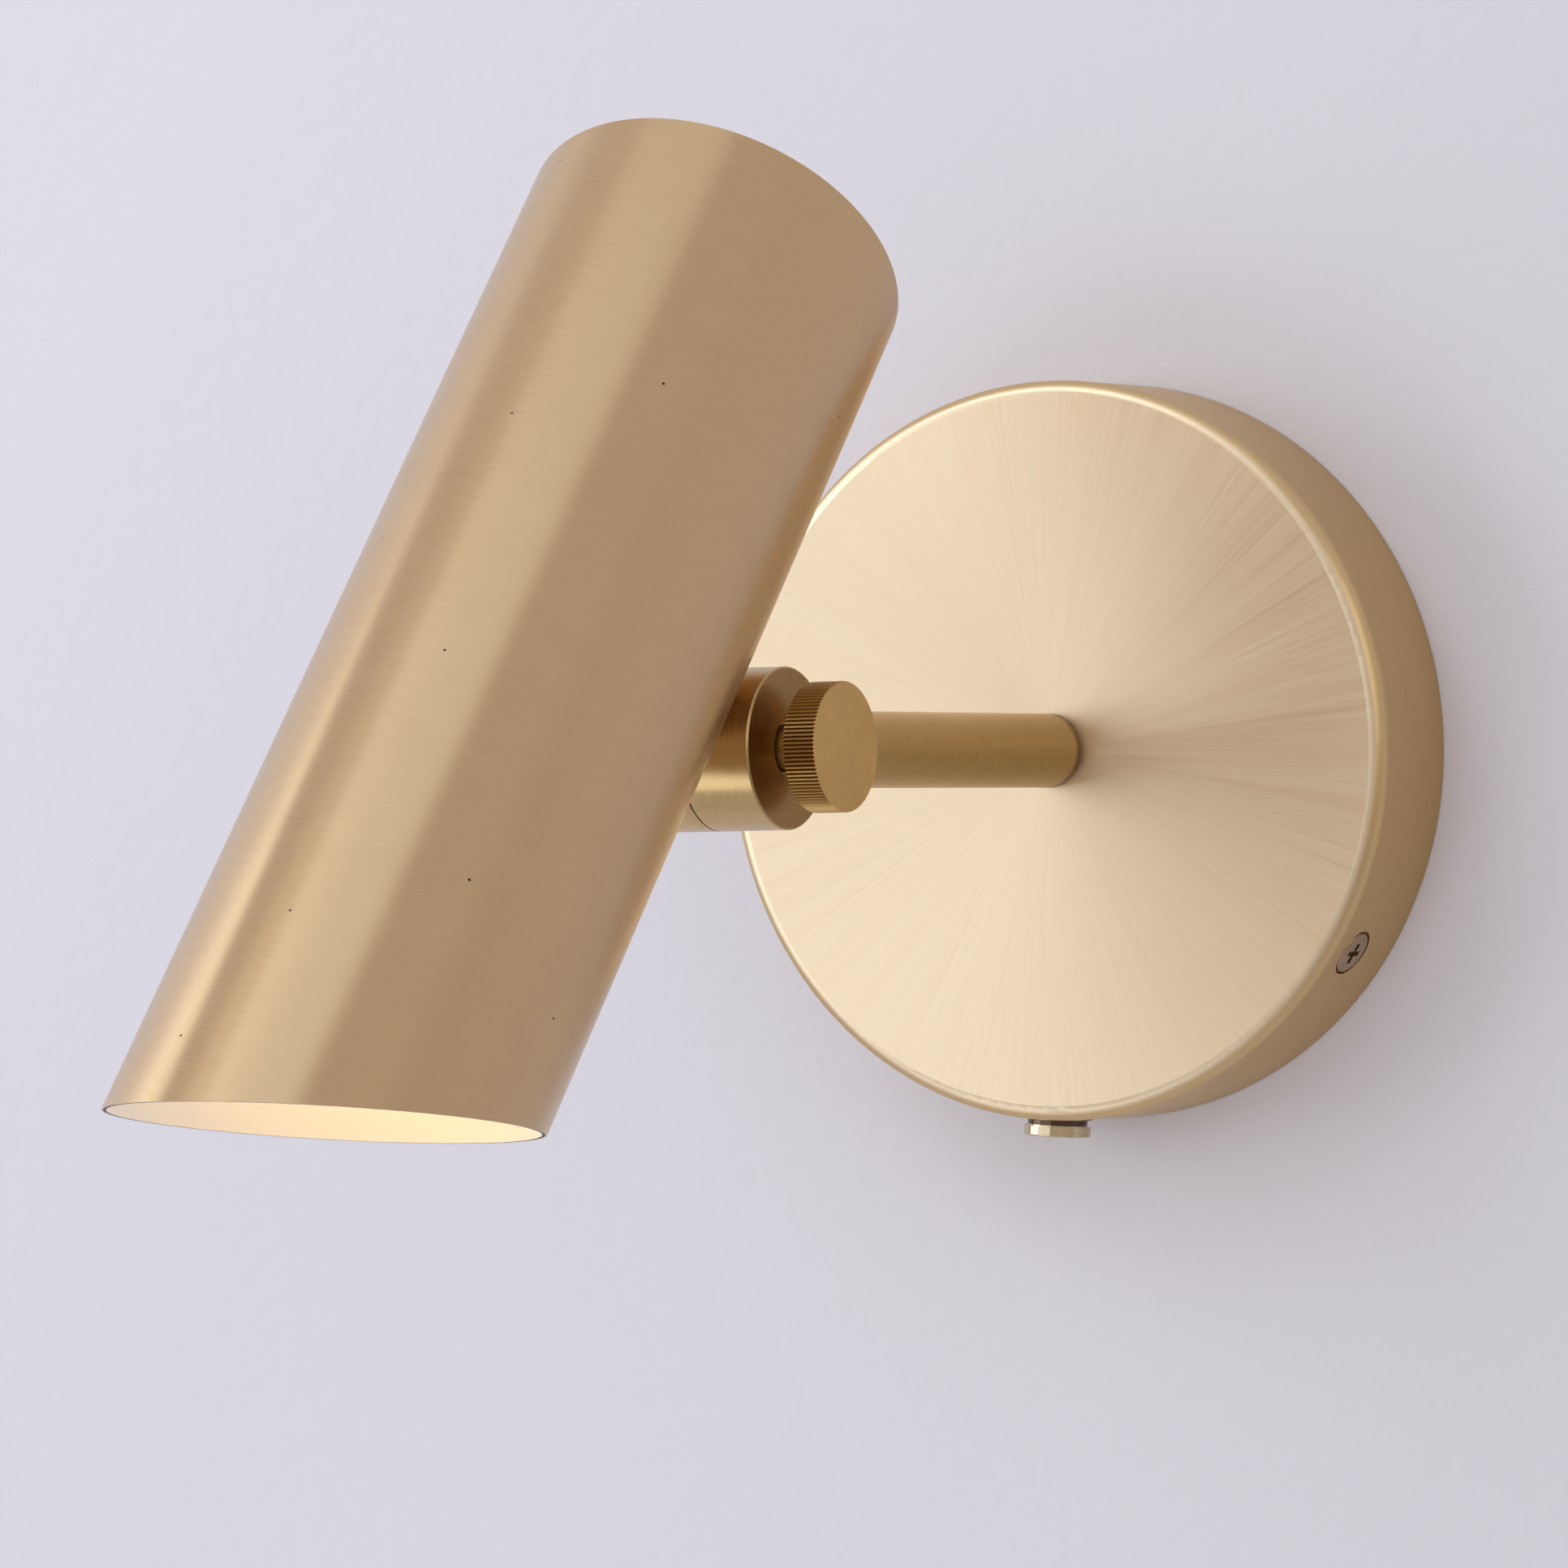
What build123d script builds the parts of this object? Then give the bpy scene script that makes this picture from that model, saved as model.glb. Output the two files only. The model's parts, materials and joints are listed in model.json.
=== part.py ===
from build123d import *
import os
from math import acos, asin, atan2, cos, degrees, hypot, pi, radians, sin, sqrt, tan

# Wall reading lamp with a tilting shade, in millimetres and degrees.
# The wall is the plane y = 0, the lamp stands out along -Y, and +Z is up.
# The origin is the centre of the canopy's back face.

# Clearances
seat_clearance = 0.05
running_clearance = 0.07
turning_gap = 0.25
hole_clearance = 0.25
shade_gap = 0.35

# Canopy, a dished round cover
canopy_diameter = 120.0
canopy_depth = 22.5
canopy_wall = 1.8
canopy_edge_radius = 2.4

# Wall plate behind the canopy
plate_diameter = 96.0
plate_thickness = 2.0
plate_bend = 1.5
cable_hole = 22.0
wall_hole = 5.0
wall_hole_spacing = 70.0
tab_width = 14.0
tab_height = 17.8
tab_root = 6.0

# Side screws, through the canopy's rim into the plate's tabs
side_screw_angles = (-34.0, 146.0)
side_screw_height = 13.5
side_screw_diameter = 4.0
side_screw_length = 8.0
side_head_diameter = 7.4
side_head_height = 1.1
side_recess_depth = 1.0
side_recess_margin = 0.4

# Earth screw on the plate
earth_screw_x = -24.0
earth_screw_z = -14.0
earth_screw_diameter = 4.0
earth_head_diameter = 8.0
earth_head_height = 2.4

# Cross-head screws, as shares of the head's diameter or height
head_rounding = 0.4
cross_reach = 0.5
cross_breadth = 0.12
cross_sink = 0.6

# Terminal block on the plate
block_length = 30.0
block_width = 16.0
block_height = 10.0
block_corner = 1.5
block_z = 28.0
terminal_pitch = 9.0
terminal_rows = 8.0
wire_hole = 3.4
wire_height = 4.0
terminal_screw_diameter = 2.8
terminal_screw_sink = 0.5
terminal_slot = 0.6
fixing_diameter = 2.8
fixing_head_diameter = 5.0
fixing_head_height = 1.8

# Arm and the threaded nipples in its ends
arm_diameter = 12.0
arm_reach = 117.5
nipple_diameter = 10.0
nipple_bore = 7.0
nipple_grip = 12.0
nipple_tail = 1.5
arm_washer_diameter = 18.0
arm_washer_thickness = 1.0
nut_flats = 14.0
nut_thickness = 4.0

# Knuckle: the fixed barrel and the friction washer
knuckle_diameter = 25.0
barrel_length = 12.0
barrel_wall = 2.5
barrel_floor = 2.5
barrel_chamfer = 0.3
spigot_diameter = 8.0
spigot_bore = 5.6
spigot_collar = 10.0
barrel_lip = 0.9
neck_recess = 1.0
neck_recess_margin = 0.7
friction_thickness = 1.0

# Thumbscrew through the knuckle
knob_diameter = 20.0
knob_thickness = 5.3
knob_chamfer = 0.1
knob_neck_diameter = 7.4
knob_neck_length = 4.7
knurl_pitch = 0.65
knurl_depth = 0.25
stud_diameter = 5.0
stud_knob_grip = 8.0
stud_saddle_grip = 5.6
stud_end_room = 0.5

# Tilt of the shade from upright, with its top towards the wall, and the travel each way
shade_tilt = 41.5
tilt_to_wall = 45.0
tilt_from_wall = 60.0

# Stop pin in the saddle, and the two lugs in the barrel that it meets
stop_pin_diameter = 2.4
stop_circle = 14.0
stop_pin_grip = 4.0
stop_pin_reach = 2.9
stop_lug_width = 2.0
stop_lug_length = 4.0
stop_lug_setback = 1.2
stop_gap = 0.3

# Saddle, the moving half of the knuckle, and the pad on it for the shade's back
saddle_length = 12.0
pad_length = 16.0

# Shade, in front of the knuckle
shade_diameter = 60.0
shade_wall = 0.8
shade_above = 65.0
shade_below = 109.0
mouth_slant = 34.8
shade_cap_thickness = 1.5

# Screws that hold the shade and its bracket on the saddle, and the wire's way between them
saddle_screw_spacing = 10.0
saddle_screw_diameter = 3.0
saddle_screw_grip = 4.5
saddle_head_diameter = 5.6
saddle_head_height = 1.8
lead_hole = 4.0
lead_circle = 13.2

# Bracket in the shade that carries the lampholder
bracket_width = 9.0
bracket_thickness = 1.5
bracket_foot = 12.0
bracket_height = 52.0
bracket_eye = 20.0

# Lampholder
holder_diameter = 27.0
holder_roof = 14.0
holder_cavity = 18.0
holder_edge = 1.5
holder_nipple_grip = 10.0
shell_wall = 1.9
shell_length = 14.0
shell_setback = 1.0
contact_diameter = 14.0
contact_thickness = 1.0

# Bulb
bulb_diameter = 45.0
bulb_length = 78.0
bulb_base_diameter = 13.8
bulb_base_length = 16.0
bulb_base_wall = 0.8
bulb_contact_diameter = 8.0
bulb_contact_height = 2.0
bulb_glass = 0.9
bulb_neck_room = 0.5

# Push switch under the rim
button_angle = -94.5
button_height = 12.8
button_diameter = 10.9
button_thickness = 1.6
button_edge = 0.25
button_gap = 1.2
button_travel = 0.9
plunger_diameter = 9.8
plunger_overrun = 2.0
bushing_diameter = 11.4
bushing_grip = 2.0
switch_nut_diameter = 14.5
switch_nut_thickness = 2.5
housing_depth = 13.0
housing_width = 15.0
housing_length = 20.0
housing_corner = 1.5
housing_end_room = 0.5

# Radii and places worked out from the sizes above
canopy_radius = canopy_diameter / 2
canopy_inner_radius = canopy_radius - canopy_wall
canopy_inner_depth = canopy_depth - canopy_wall
nipple_radius = nipple_diameter / 2
knuckle_radius = knuckle_diameter / 2
barrel_end = barrel_length / 2
barrel_cavity_radius = knuckle_radius - barrel_wall
stud_radius = stud_diameter / 2
shade_radius = shade_diameter / 2
shade_inner_radius = shade_radius - shade_wall
bracket_outer_radius = shade_inner_radius - seat_clearance
bracket_inner_radius = bracket_outer_radius - bracket_thickness
saddle_seat = sqrt(bracket_inner_radius**2 - (saddle_head_diameter / 2) ** 2) - seat_clearance
friction_radius = knuckle_radius - barrel_lip
neck_start = barrel_end - neck_recess + turning_gap
knob_start = barrel_end + knob_neck_length
knob_end = knob_start + knob_thickness
saddle_start = barrel_end + turning_gap
shade_offset = saddle_start + saddle_length / 2
shade_standoff = knuckle_radius + shade_gap + sqrt(shade_radius**2 - (shade_offset - barrel_end) ** 2)
lead_depth = shade_standoff - saddle_seat - lead_circle / 2
holder_top = bracket_height - bracket_thickness
bulb_top = holder_top - holder_roof - contact_thickness
base_top = bulb_top - bulb_contact_height
globe_top = base_top - bulb_base_length
holder_bottom = globe_top + bulb_neck_room
holder_length = holder_top - holder_bottom
globe_centre = bulb_top - bulb_length + bulb_diameter / 2
nut_setback = canopy_inner_radius - sqrt(canopy_inner_radius**2 - (switch_nut_diameter / 2) ** 2)
housing_start = canopy_wall + nut_setback + seat_clearance + switch_nut_thickness
bushing_length = housing_start + bushing_grip

# Working planes and axes
wall = Plane.XZ
arm_plane = Plane(origin=(0, -arm_reach, 0), x_dir=(1, 0, 0), z_dir=(0, 1, 0))
knuckle = Plane(origin=(0, -arm_reach, 0), x_dir=(0, 1, 0), z_dir=(1, 0, 0))
knuckle_section = Plane(origin=(0, -arm_reach, 0), x_dir=(1, 0, 0), z_dir=(0, -1, 0))
knuckle_line = Axis((0, -arm_reach, 0), (1, 0, 0))
shade_up = Vector(0, sin(radians(shade_tilt)), cos(radians(shade_tilt)))
shade_front = Vector(0, -cos(radians(shade_tilt)), sin(radians(shade_tilt)))
pad_plane = Plane(origin=(-shade_offset, -arm_reach, 0), x_dir=(1, 0, 0), z_dir=shade_front)
shade_foot = pad_plane.origin + shade_front * shade_standoff
shade_axis = Plane(origin=shade_foot, x_dir=(1, 0, 0), z_dir=shade_up)
shade_section = Plane(origin=shade_foot, x_dir=(1, 0, 0), z_dir=shade_front)
shade_line = Axis(shade_foot, shade_up)
mouth_plane = shade_axis.offset(-shade_below).rotated((mouth_slant, 0, 0))


def rim_plane(angle, height):
    """Plane on the canopy's rim, facing outwards, at an angle round it and a height off the wall."""
    outward = Vector(cos(radians(angle)), 0, sin(radians(angle)))
    return Plane(origin=outward * canopy_radius + Vector(0, -height, 0), x_dir=(0, -1, 0), z_dir=outward)


def tab_plane(angle):
    """Plane through the canopy's axis with x outwards at an angle and y off the wall."""
    outward = (cos(radians(angle)), 0, sin(radians(angle)))
    return Plane(origin=(0, 0, 0), x_dir=outward, z_dir=(outward[2], 0, -outward[0]))


def inside_plane(along):
    """Plane where the saddle screws' heads sit on the bracket, facing the shade's axis."""
    origin = shade_axis.from_local_coords(Vector(0, saddle_seat, along))
    return Plane(origin=origin, x_dir=(1, 0, 0), z_dir=shade_front)


def pan_screw(seat, head_diameter, head_height, shank_diameter, shank_length):
    """A cross-head screw: the head stands on the seat plane and the shank goes through it."""
    with BuildPart() as screw:
        with BuildSketch(seat):
            Circle(head_diameter / 2)
        extrude(amount=head_height)
        top = screw.faces().sort_by(Axis(seat.origin, seat.z_dir))[-1]
        fillet(top.edges(), head_rounding * head_height)
        with BuildSketch(seat.offset(head_height)):
            Rectangle(cross_reach * head_diameter, cross_breadth * head_diameter)
            Rectangle(cross_breadth * head_diameter, cross_reach * head_diameter)
        extrude(amount=-cross_sink * head_height, mode=Mode.SUBTRACT)
        with BuildSketch(seat):
            Circle(shank_diameter / 2)
        extrude(amount=-shank_length)
    return screw.part


def neck_angle(ball_radius, neck_radius, neck_height):
    """Angle above a ball's equator where a straight neck leaves it tangentially."""
    return degrees(atan2(neck_height, neck_radius) - acos(ball_radius / hypot(neck_radius, neck_height)))


# Canopy
with BuildPart() as canopy:
    with BuildSketch(wall):
        Circle(canopy_radius)
    extrude(amount=canopy_depth)
    fillet(canopy.faces().sort_by(Axis.Y)[0].edges(), canopy_edge_radius)
    offset(amount=-canopy_wall, openings=canopy.faces().sort_by(Axis.Y)[-1])
    with BuildSketch(wall.offset(canopy_depth)):
        Circle(nipple_radius + seat_clearance)
    extrude(amount=-2 * canopy_wall, mode=Mode.SUBTRACT)
    for angle in side_screw_angles:
        with BuildSketch(rim_plane(angle, side_screw_height).offset(-side_recess_depth)):
            Circle(side_head_diameter / 2 + side_recess_margin)
        extrude(amount=2 * side_recess_depth, mode=Mode.SUBTRACT)
        with BuildSketch(rim_plane(angle, side_screw_height)):
            Circle(side_screw_diameter / 2 + hole_clearance)
        extrude(amount=-2 * canopy_wall, mode=Mode.SUBTRACT)
    with BuildSketch(rim_plane(button_angle, button_height)):
        Circle(bushing_diameter / 2 + seat_clearance)
    extrude(amount=-2 * canopy_wall, mode=Mode.SUBTRACT)

# Wall plate with two folded tabs
tab_reach = sqrt((canopy_inner_radius - hole_clearance) ** 2 - (tab_width / 2) ** 2)
with BuildPart() as wall_plate:
    with BuildSketch(wall):
        Circle(plate_diameter / 2)
    extrude(amount=plate_thickness)
    for angle in side_screw_angles:
        with BuildSketch(tab_plane(angle)):
            with BuildLine():
                tab_foot = plate_diameter / 2 - tab_root
                outer_fold = FilletPolyline(
                    (tab_foot, 0), (tab_reach, 0), (tab_reach, tab_height), radius=plate_bend + plate_thickness
                )
                inner_fold = FilletPolyline(
                    (tab_foot, plate_thickness),
                    (tab_reach - plate_thickness, plate_thickness),
                    (tab_reach - plate_thickness, tab_height),
                    radius=plate_bend,
                )
                Line(outer_fold @ 0, inner_fold @ 0)
                Line(outer_fold @ 1, inner_fold @ 1)
            make_face()
        extrude(amount=tab_width / 2, both=True)
        with BuildSketch(rim_plane(angle, side_screw_height)):
            Circle(side_screw_diameter / 2 + seat_clearance)
        extrude(amount=-(canopy_radius - tab_reach + 2 * plate_thickness), mode=Mode.SUBTRACT)
    with BuildSketch(wall):
        Circle(cable_hole / 2)
        with GridLocations(wall_hole_spacing, 0, 2, 1):
            Circle(wall_hole / 2)
        with Locations((earth_screw_x, earth_screw_z)):
            Circle(earth_screw_diameter / 2 + seat_clearance)
        with Locations((terminal_pitch / 2, block_z)):
            Circle(fixing_diameter / 2 + seat_clearance)
    extrude(amount=plate_thickness, mode=Mode.SUBTRACT)

# Side screws
side_screws = [
    pan_screw(
        rim_plane(angle, side_screw_height).offset(-side_recess_depth),
        side_head_diameter,
        side_head_height,
        side_screw_diameter,
        side_screw_length,
    )
    for angle in side_screw_angles
]
with BuildPart() as canopy_screws:
    add(side_screws)

# Earth screw
plate_front = wall.offset(plate_thickness)
earth_seat = Plane(
    origin=plate_front.from_local_coords(Vector(earth_screw_x, earth_screw_z, 0)),
    x_dir=plate_front.x_dir,
    z_dir=plate_front.z_dir,
)
earth_pin = pan_screw(
    earth_seat, earth_head_diameter, earth_head_height, earth_screw_diameter, plate_thickness - seat_clearance
)
with BuildPart() as earth_screw:
    add(earth_pin)

# Terminal block
block_front = plate_front.offset(block_height)
wire_plane = Plane(
    origin=(0, -plate_thickness - wire_height, block_z - block_width / 2), x_dir=(1, 0, 0), z_dir=(0, 0, 1)
)
terminal_depth = block_height - wire_height
with BuildPart() as terminal_block:
    with BuildSketch(plate_front):
        with Locations((0, block_z)):
            RectangleRounded(block_length, block_width, block_corner)
    extrude(amount=block_height)
    with BuildSketch(wire_plane):
        with GridLocations(terminal_pitch, 0, 3, 1):
            Circle(wire_hole / 2)
    extrude(amount=block_width, mode=Mode.SUBTRACT)
    with BuildSketch(block_front):
        with Locations((0, block_z)):
            with GridLocations(terminal_pitch, terminal_rows, 3, 2):
                Circle(terminal_screw_diameter / 2 + seat_clearance)
    extrude(amount=-terminal_depth, mode=Mode.SUBTRACT)
    with BuildSketch(block_front):
        with Locations((terminal_pitch / 2, block_z)):
            Circle(fixing_diameter / 2 + seat_clearance)
    extrude(amount=-block_height, mode=Mode.SUBTRACT)

# Terminal screws, sunk in the block
with BuildPart() as terminal_screws:
    with BuildSketch(block_front.offset(-terminal_screw_sink)):
        with Locations((0, block_z)):
            with GridLocations(terminal_pitch, terminal_rows, 3, 2):
                Circle(terminal_screw_diameter / 2)
    extrude(amount=-(terminal_depth - terminal_screw_sink))
    with BuildSketch(block_front.offset(-terminal_screw_sink)):
        with Locations((0, block_z)):
            with GridLocations(terminal_pitch, terminal_rows, 3, 2):
                Rectangle(2 * terminal_screw_diameter, terminal_slot)
    extrude(amount=-terminal_slot, mode=Mode.SUBTRACT)

# Screw that fixes the terminal block to the plate
fixing_seat = Plane(
    origin=block_front.from_local_coords(Vector(terminal_pitch / 2, block_z, 0)),
    x_dir=block_front.x_dir,
    z_dir=block_front.z_dir,
)
fixing_pin = pan_screw(
    fixing_seat,
    fixing_head_diameter,
    fixing_head_height,
    fixing_diameter,
    block_height + plate_thickness - seat_clearance,
)
with BuildPart() as terminal_fixing:
    add(fixing_pin)

# Arm, cut to the barrel's side
with BuildPart() as arm:
    with BuildSketch(wall.offset(canopy_depth)):
        Circle(arm_diameter / 2)
        Circle(nipple_radius + seat_clearance, mode=Mode.SUBTRACT)
    extrude(amount=arm_reach - canopy_depth)
    with BuildSketch(knuckle.offset(-knuckle_diameter)):
        Circle(knuckle_radius + seat_clearance)
    extrude(amount=2 * knuckle_diameter, mode=Mode.SUBTRACT)

# Nipple that joins the arm to the canopy, with its washer and nut behind the face
nipple_inside = arm_washer_thickness + nut_thickness + nipple_tail
with BuildPart() as arm_nipple:
    with BuildSketch(wall.offset(canopy_inner_depth - nipple_inside)):
        Circle(nipple_radius)
        Circle(nipple_bore / 2, mode=Mode.SUBTRACT)
    extrude(amount=nipple_inside + canopy_wall + nipple_grip)

with BuildPart() as arm_washer:
    with BuildSketch(wall.offset(canopy_inner_depth)):
        Circle(arm_washer_diameter / 2)
        Circle(nipple_radius + seat_clearance, mode=Mode.SUBTRACT)
    extrude(amount=-arm_washer_thickness)

with BuildPart() as arm_nut:
    with BuildSketch(wall.offset(canopy_inner_depth - arm_washer_thickness)):
        RegularPolygon(nut_flats / 2, 6, major_radius=False)
        Circle(nipple_radius + seat_clearance, mode=Mode.SUBTRACT)
    extrude(amount=-nut_thickness)

# Stepped nipple that joins the barrel to the arm
with BuildPart() as barrel_nipple:
    with BuildSketch(arm_plane.offset(barrel_cavity_radius)):
        Circle(spigot_diameter / 2)
    extrude(amount=barrel_wall + turning_gap)
    with BuildSketch(arm_plane.offset(knuckle_radius + turning_gap)):
        Circle(nipple_radius)
    extrude(amount=spigot_collar)
    with BuildSketch(arm_plane):
        Circle(spigot_bore / 2)
    extrude(amount=knuckle_radius + turning_gap + spigot_collar, mode=Mode.SUBTRACT)

# Barrel, a cup open towards the shade, with two lugs that stop the tilt
stop_radius = stop_circle / 2
stop_swing = degrees(
    asin(stop_pin_diameter / 2 / stop_radius) + asin(stop_lug_width / 2 / stop_radius) + stop_gap / stop_radius
)
stop_rest = -shade_tilt
stop_angles = (stop_rest - tilt_to_wall - stop_swing, stop_rest + tilt_from_wall + stop_swing)
lug_middle = barrel_cavity_radius + seat_clearance - stop_lug_length / 2
with BuildPart() as barrel:
    with BuildSketch(knuckle.offset(-barrel_end)):
        Circle(knuckle_radius)
    extrude(amount=barrel_length)
    chamfer(barrel.edges().group_by(Axis.X)[-1], barrel_chamfer)
    with BuildSketch(knuckle.offset(-barrel_end)):
        Circle(barrel_cavity_radius)
    extrude(amount=barrel_length - barrel_floor, mode=Mode.SUBTRACT)
    with BuildSketch(knuckle.offset(-barrel_end)):
        Circle(friction_radius)
    extrude(amount=friction_thickness, mode=Mode.SUBTRACT)
    with BuildSketch(knuckle.offset(barrel_end)):
        Circle(knob_neck_diameter / 2 + neck_recess_margin)
    extrude(amount=-neck_recess, mode=Mode.SUBTRACT)
    for angle in stop_angles:
        with BuildSketch(knuckle.offset(stop_lug_setback - barrel_end)):
            with PolarLocations(lug_middle, 1, start_angle=angle):
                Rectangle(stop_lug_length, stop_lug_width)
        extrude(amount=barrel_length - barrel_floor - stop_lug_setback)
    with BuildSketch(knuckle):
        Circle(stud_radius + running_clearance)
    extrude(amount=barrel_length, mode=Mode.SUBTRACT)
    with BuildSketch(arm_plane.offset(barrel_cavity_radius - barrel_wall / 2)):
        Circle(spigot_diameter / 2 + seat_clearance)
    extrude(amount=2 * barrel_wall, mode=Mode.SUBTRACT)

# Friction washer, let into the barrel's open end
with BuildPart() as friction_washer:
    with BuildSketch(knuckle.offset(-barrel_end)):
        Circle(friction_radius - seat_clearance)
        Circle(barrel_cavity_radius + seat_clearance, mode=Mode.SUBTRACT)
    extrude(amount=friction_thickness)

# Thumbscrew head: a knurled disc turned down at both rims, and its neck
knurl_count = round(pi * knob_diameter / knurl_pitch)
with BuildPart() as thumb_knob:
    with BuildSketch(knuckle.offset(knob_start)):
        Circle(knob_diameter / 2)
        with PolarLocations(knob_diameter / 2, knurl_count):
            Rectangle(sqrt(2) * knurl_depth, sqrt(2) * knurl_depth, rotation=45, mode=Mode.SUBTRACT)
    extrude(amount=knob_thickness)
    with BuildSketch(knuckle_section):
        with BuildLine():
            Polyline(
                (knob_start, 0),
                (knob_start, knob_diameter / 2 - knob_chamfer),
                (knob_start + knob_chamfer, knob_diameter / 2),
                (knob_end - knob_chamfer, knob_diameter / 2),
                (knob_end, knob_diameter / 2 - knob_chamfer),
                (knob_end, 0),
                close=True,
            )
        make_face()
    revolve(axis=knuckle_line, mode=Mode.INTERSECT)
    with BuildSketch(knuckle.offset(neck_start)):
        Circle(knob_neck_diameter / 2)
    extrude(amount=knob_start - neck_start)
    with BuildSketch(knuckle.offset(neck_start)):
        Circle(stud_radius + seat_clearance)
    extrude(amount=stud_knob_grip, mode=Mode.SUBTRACT)

# Stud fixed in the thumbscrew's head, threaded into the saddle
with BuildPart() as clamp_stud:
    with BuildSketch(knuckle.offset(-saddle_start - stud_saddle_grip)):
        Circle(stud_radius)
    extrude(amount=stud_saddle_grip + saddle_start + neck_start + stud_knob_grip)

# Saddle, the moving half of the knuckle, with its pad cut to the shade's back
pad_height = shade_standoff - sqrt(shade_radius**2 - (saddle_length / 2) ** 2)
with BuildPart() as saddle:
    with BuildSketch(knuckle.offset(-saddle_start)):
        Circle(knuckle_radius)
    extrude(amount=-saddle_length)
    chamfer(saddle.edges().group_by(Axis.X)[0], barrel_chamfer)
    with BuildSketch(pad_plane):
        Rectangle(saddle_length, pad_length)
    extrude(amount=pad_height)
    with BuildSketch(shade_axis.offset(-knuckle_diameter)):
        Circle(shade_radius + seat_clearance)
    extrude(amount=2 * knuckle_diameter, mode=Mode.SUBTRACT)
    with BuildSketch(knuckle.offset(-saddle_start)):
        Circle(stud_radius + running_clearance)
    extrude(amount=-(stud_saddle_grip + stud_end_room), mode=Mode.SUBTRACT)
    with BuildSketch(knuckle.offset(-saddle_start)):
        with PolarLocations(stop_radius, 1, start_angle=stop_rest):
            Circle(stop_pin_diameter / 2 + seat_clearance)
    extrude(amount=-stop_pin_grip, mode=Mode.SUBTRACT)
    for along in (-saddle_screw_spacing / 2, saddle_screw_spacing / 2):
        with BuildSketch(inside_plane(along)):
            Circle(saddle_screw_diameter / 2 + seat_clearance)
        extrude(amount=-(shade_radius - saddle_seat + saddle_screw_grip), mode=Mode.SUBTRACT)
    with BuildSketch(inside_plane(0)):
        Circle(lead_hole / 2)
    extrude(amount=-lead_depth, mode=Mode.SUBTRACT)
    with BuildSketch(knuckle.offset(-saddle_start)):
        with PolarLocations(lead_circle / 2, 1, start_angle=180 - shade_tilt):
            Circle(lead_hole / 2)
    extrude(amount=-(saddle_length + lead_hole) / 2, mode=Mode.SUBTRACT)

# Stop pin, from the saddle into the barrel
with BuildPart() as stop_pin:
    with BuildSketch(knuckle.offset(-saddle_start - stop_pin_grip)):
        with PolarLocations(stop_radius, 1, start_angle=stop_rest):
            Circle(stop_pin_diameter / 2)
    extrude(amount=stop_pin_grip + turning_gap + stop_pin_reach)

# Shade, a tube with a slanted mouth
mouth_reach = shade_below + shade_radius * tan(radians(mouth_slant)) + shade_wall
with BuildPart() as shade:
    with BuildSketch(shade_axis.offset(shade_above)):
        Circle(shade_radius)
        Circle(shade_inner_radius, mode=Mode.SUBTRACT)
    extrude(amount=-(shade_above + mouth_reach))
    split(bisect_by=mouth_plane, keep=Keep.TOP)
    for along in (-saddle_screw_spacing / 2, saddle_screw_spacing / 2):
        with BuildSketch(inside_plane(along)):
            Circle(saddle_screw_diameter / 2 + hole_clearance)
        extrude(amount=-shade_radius, mode=Mode.SUBTRACT)
    with BuildSketch(inside_plane(0)):
        Circle(lead_hole / 2)
    extrude(amount=-lead_depth, mode=Mode.SUBTRACT)

# Disc that closes the shade's top
with BuildPart() as shade_cap:
    with BuildSketch(shade_axis.offset(shade_above)):
        Circle(shade_inner_radius - seat_clearance)
    extrude(amount=-shade_cap_thickness)

# Screws from inside the shade, through the bracket and the shade into the saddle
saddle_pins = [
    pan_screw(
        inside_plane(along),
        saddle_head_diameter,
        saddle_head_height,
        saddle_screw_diameter,
        shade_radius - saddle_seat + saddle_screw_grip - stud_end_room,
    )
    for along in (-saddle_screw_spacing / 2, saddle_screw_spacing / 2)
]
with BuildPart() as saddle_screws:
    add(saddle_pins)

# Bracket: a strip rolled to the shade's wall, with an eye turned in over the axis
with BuildPart() as holder_bracket:
    with BuildSketch(shade_axis.offset(-bracket_foot)):
        Circle(bracket_outer_radius)
        Circle(bracket_inner_radius, mode=Mode.SUBTRACT)
        with Locations((0, shade_radius)):
            Rectangle(bracket_width, shade_diameter, mode=Mode.INTERSECT)
    extrude(amount=bracket_foot + bracket_height)
    with BuildSketch(shade_axis.offset(holder_top)):
        Circle(bracket_eye / 2)
        with Locations((0, shade_radius / 2)):
            Rectangle(bracket_width, shade_radius)
        Circle(bracket_outer_radius, mode=Mode.INTERSECT)
        Circle(nipple_radius + seat_clearance, mode=Mode.SUBTRACT)
    extrude(amount=bracket_thickness)
    for along in (-saddle_screw_spacing / 2, saddle_screw_spacing / 2):
        with BuildSketch(inside_plane(along)):
            Circle(saddle_screw_diameter / 2 + hole_clearance)
        extrude(amount=-2 * bracket_thickness, mode=Mode.SUBTRACT)
    with BuildSketch(inside_plane(0)):
        Circle(lead_hole / 2)
    extrude(amount=-lead_depth, mode=Mode.SUBTRACT)

# Nipple and nut that hang the lampholder from the bracket
with BuildPart() as holder_nipple:
    with BuildSketch(shade_axis.offset(holder_top - holder_nipple_grip)):
        Circle(nipple_radius)
        Circle(nipple_bore / 2, mode=Mode.SUBTRACT)
    extrude(amount=holder_nipple_grip + bracket_thickness + nut_thickness + nipple_tail)

with BuildPart() as holder_nut:
    with BuildSketch(shade_axis.offset(bracket_height)):
        RegularPolygon(nut_flats / 2, 6, major_radius=False)
        Circle(nipple_radius + seat_clearance, mode=Mode.SUBTRACT)
    extrude(amount=nut_thickness)

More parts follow.
